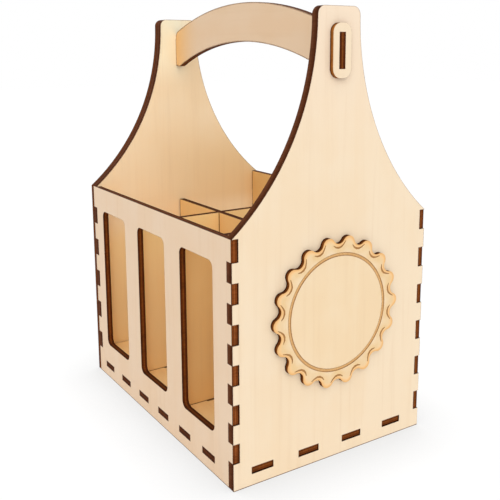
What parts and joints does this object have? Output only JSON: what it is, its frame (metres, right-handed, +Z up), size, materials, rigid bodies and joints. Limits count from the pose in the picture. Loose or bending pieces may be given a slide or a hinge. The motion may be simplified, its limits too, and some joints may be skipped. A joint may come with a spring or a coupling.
{
  "type": "bottle caddy",
  "caption": "Laser-cut plywood carrier with divided cells for bottles, tall shouldered ends, windowed sides, an arched handle and a scalloped crown cap plate.",
  "frame": {"origin": "on the table under the middle of the outer box", "axes": "+X to the end with the crown cap plate, +Y to the right side seen from the rear end, +Z up"},
  "size_m": [0.2508, 0.1706, 0.3309],
  "materials": {
    "end_ply": "bare birch plywood, laser cut, edges burnt dark brown",
    "side_ply": "bare birch plywood, laser cut, edges burnt dark brown",
    "floor_ply": "bare birch plywood, laser cut, edges burnt dark brown",
    "divider_ply": "bare birch plywood, laser cut, edges burnt dark brown",
    "handle_ply": "bare birch plywood, laser cut, edges burnt dark brown",
    "trim_ply": "bare birch plywood, laser cut and engraved, edges burnt brown"
  },
  "bodies": {
    "root": {"front_end_panel": "end_ply", "rear_end_panel": "end_ply", "rear_facing_panel": "end_ply", "left_side_panel": "side_ply", "right_side_panel": "side_ply", "base_panel": "floor_ply", "lower_floor_plate": "floor_ply", "upper_floor_plate": "floor_ply", "long_divider": "divider_ply", "front_cross_divider": "divider_ply", "rear_cross_divider": "divider_ply", "handle": "handle_ply", "front_handle_washer": "trim_ply", "rear_handle_washer": "trim_ply", "crown_cap_plate": "trim_ply"}
  },
  "joints": []
}
